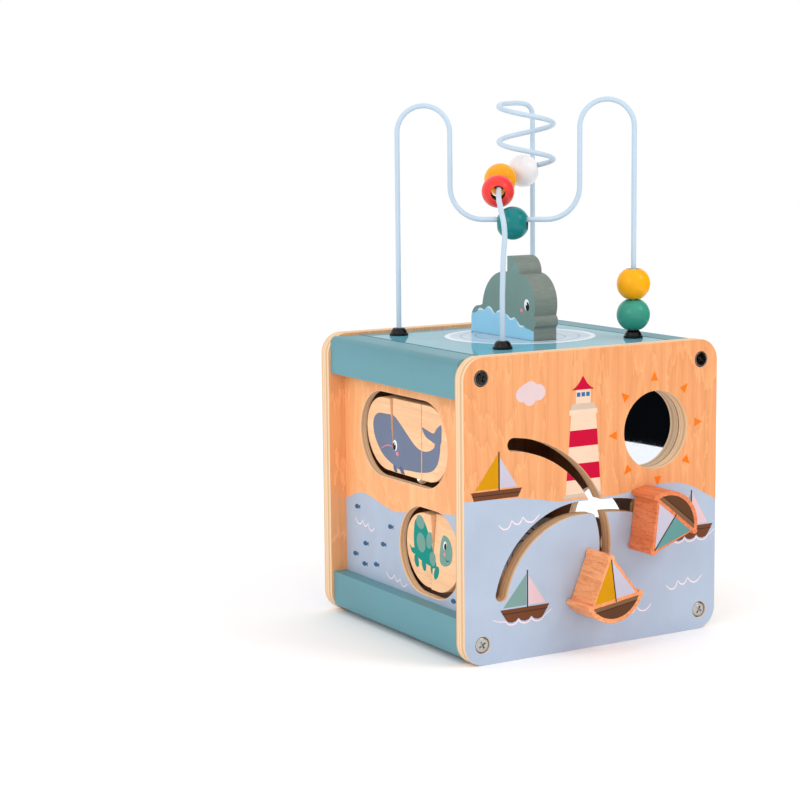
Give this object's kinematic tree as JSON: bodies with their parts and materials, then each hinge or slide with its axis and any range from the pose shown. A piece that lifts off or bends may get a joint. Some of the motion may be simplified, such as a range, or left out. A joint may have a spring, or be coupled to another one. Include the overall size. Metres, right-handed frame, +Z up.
{
  "type": "baby activity cube",
  "caption": "Wooden activity cube with sliding boats, a mirror, turning picture tiles, a shape sorter, a posting hole and a bead maze on top.",
  "frame": {"origin": "centre of the cube's underside, on the surface that it stands on", "axes": "+X to the right seen from the boat face, -Y out of the boat face, +Z up through the bead maze"},
  "size_m": [0.18, 0.1886, 0.321],
  "materials": {
    "wood_face": "clear satin lacquer with printed picture",
    "plain_wood": "bare sanded plywood",
    "rail_paint": "satin paint on wood",
    "pond_paint": "gloss paint on wood",
    "black_steel": "blackened steel",
    "bright_steel": "bright zinc plate",
    "mirror_glass": "safety mirror sheet",
    "boat_wood": "beech with printed picture",
    "whale_paint": "satin paint on wood",
    "wire_paint": "pale blue powder coat",
    "cap_black": "moulded plastic",
    "green_paint": "gloss paint on wood",
    "amber_paint": "gloss paint on wood",
    "teal_paint": "gloss paint on wood",
    "red_paint": "gloss paint on wood",
    "orange_paint": "gloss paint on wood",
    "white_paint": "gloss paint on wood"
  },
  "bodies": {
    "cube": {"front_panel": "wood_face", "back_panel": "wood_face", "left_panel": "wood_face", "right_panel": "wood_face", "top_panel": "pond_paint", "bottom_panel": "plain_wood", "left_top_rail": "rail_paint", "left_bottom_rail": "rail_paint", "right_top_rail": "rail_paint", "right_bottom_rail": "rail_paint", "front_top_screws": "black_steel", "front_bottom_screws": "bright_steel", "back_screws": "black_steel", "mirror_disc": "mirror_glass", "mirror_backing": "plain_wood", "mirror_backing_screws": "bright_steel", "whale_axle": "bright_steel", "whale_axle_blocks": "plain_wood", "turtle_axle": "bright_steel", "turtle_axle_blocks": "plain_wood", "whale_block": "whale_paint", "whale_block_screws": "bright_steel", "arch_wire": "wire_paint", "spiral_wire": "wire_paint", "wire_caps": "cap_black", "wire_nuts": "bright_steel"},
    "low_boat_slider": {"low_boat_bush": "plain_wood", "low_boat_washer": "plain_wood"},
    "low_boat": {"low_boat": "boat_wood", "low_boat_peg": "plain_wood"},
    "side_boat_slider": {"side_boat_bush": "plain_wood", "side_boat_washer": "plain_wood"},
    "side_boat": {"side_boat": "boat_wood", "side_boat_peg": "plain_wood"},
    "whale_tile_front": {"whale_tile_front": "plain_wood"},
    "whale_tile_middle": {"whale_tile_middle": "plain_wood"},
    "whale_tile_back": {"whale_tile_back": "plain_wood"},
    "turtle_tile_front": {"turtle_tile_front": "plain_wood"},
    "turtle_tile_back": {"turtle_tile_back": "plain_wood"},
    "green_bead": {"green_bead": "green_paint"},
    "amber_bead": {"amber_bead": "amber_paint"},
    "teal_bead": {"teal_bead": "teal_paint"},
    "red_bead": {"red_bead": "red_paint"},
    "orange_bead": {"orange_bead": "orange_paint"},
    "white_bead": {"white_bead": "white_paint"},
    "cloud_block": {"cloud_block": "teal_paint"},
    "sun_block": {"sun_block": "orange_paint"},
    "rainbow_block": {"rainbow_block": "white_paint"}
  },
  "joints": [
    {"name": "low_boat_travel", "type": "hinge", "parent": "cube", "child": "low_boat_slider", "pos_m": [-0.0427, -0.0785, 0.0609], "axis": [0, -1, 0], "range_deg": [0, 15.6]},
    {"name": "low_boat_turn", "type": "hinge", "parent": "low_boat_slider", "child": "low_boat", "pos_m": [-0.00092, -0.09, 0.03272], "axis": [0, -1, 0], "continuous": true},
    {"name": "side_boat_travel", "type": "hinge", "parent": "cube", "child": "side_boat_slider", "pos_m": [0.0062, -0.0785, -0.0271], "axis": [0, 1, 0], "range_deg": [-7, 0]},
    {"name": "side_boat_turn", "type": "hinge", "parent": "side_boat_slider", "child": "side_boat", "pos_m": [0.04191, -0.09, 0.07779], "axis": [0, -1, 0], "continuous": true},
    {"name": "whale_tile_front_turn", "type": "hinge", "parent": "cube", "child": "whale_tile_front", "pos_m": [-0.0708, -0.031, 0.1195], "axis": [0, 1, 0], "continuous": true},
    {"name": "whale_tile_middle_turn", "type": "hinge", "parent": "cube", "child": "whale_tile_middle", "pos_m": [-0.0708, 0.003, 0.1195], "axis": [0, 1, 0], "continuous": true},
    {"name": "whale_tile_back_turn", "type": "hinge", "parent": "cube", "child": "whale_tile_back", "pos_m": [-0.0708, 0.037, 0.1195], "axis": [0, 1, 0], "continuous": true},
    {"name": "turtle_tile_front_turn", "type": "hinge", "parent": "cube", "child": "turtle_tile_front", "pos_m": [-0.0708, -0.0435, 0.0555], "axis": [0, 1, 0], "continuous": true},
    {"name": "turtle_tile_back_turn", "type": "hinge", "parent": "cube", "child": "turtle_tile_back", "pos_m": [-0.0708, -0.0095, 0.0555], "axis": [0, 1, 0], "continuous": true},
    {"name": "green_bead_slide", "type": "slide", "parent": "cube", "child": "green_bead", "axis": [0, 0, 1], "range_m": [0, 0.05]},
    {"name": "amber_bead_slide", "type": "slide", "parent": "green_bead", "child": "amber_bead", "axis": [0, 0, 1], "range_m": [0, 0.03]},
    {"name": "teal_bead_slide", "type": "slide", "parent": "cube", "child": "teal_bead", "axis": [0.7504, -0.6609, 0], "range_m": [-0.009, 0.011]},
    {"name": "red_bead_slide", "type": "slide", "parent": "cube", "child": "red_bead", "axis": [0.5401, 0.8361, 0.096], "range_m": [-0.004, 0]},
    {"name": "orange_bead_turn", "type": "hinge", "parent": "cube", "child": "orange_bead", "pos_m": [0.01701, 0.04168, 0.27044], "axis": [0.5853, 0.7853, 0.2017], "continuous": true},
    {"name": "white_bead_turn", "type": "hinge", "parent": "cube", "child": "white_bead", "pos_m": [0.03723, 0.04638, 0.27533], "axis": [0.875, -0.4401, 0.2017], "continuous": true},
    {"name": "cloud_block_slide", "type": "slide", "parent": "cube", "child": "cloud_block", "axis": [1, 0, 0], "range_m": [-0.025, 0.03]},
    {"name": "sun_block_slide", "type": "slide", "parent": "cube", "child": "sun_block", "axis": [1, 0, 0], "range_m": [-0.025, 0.03]},
    {"name": "rainbow_block_slide", "type": "slide", "parent": "cube", "child": "rainbow_block", "axis": [0, 1, 0], "range_m": [0, 0.09]}
  ]
}
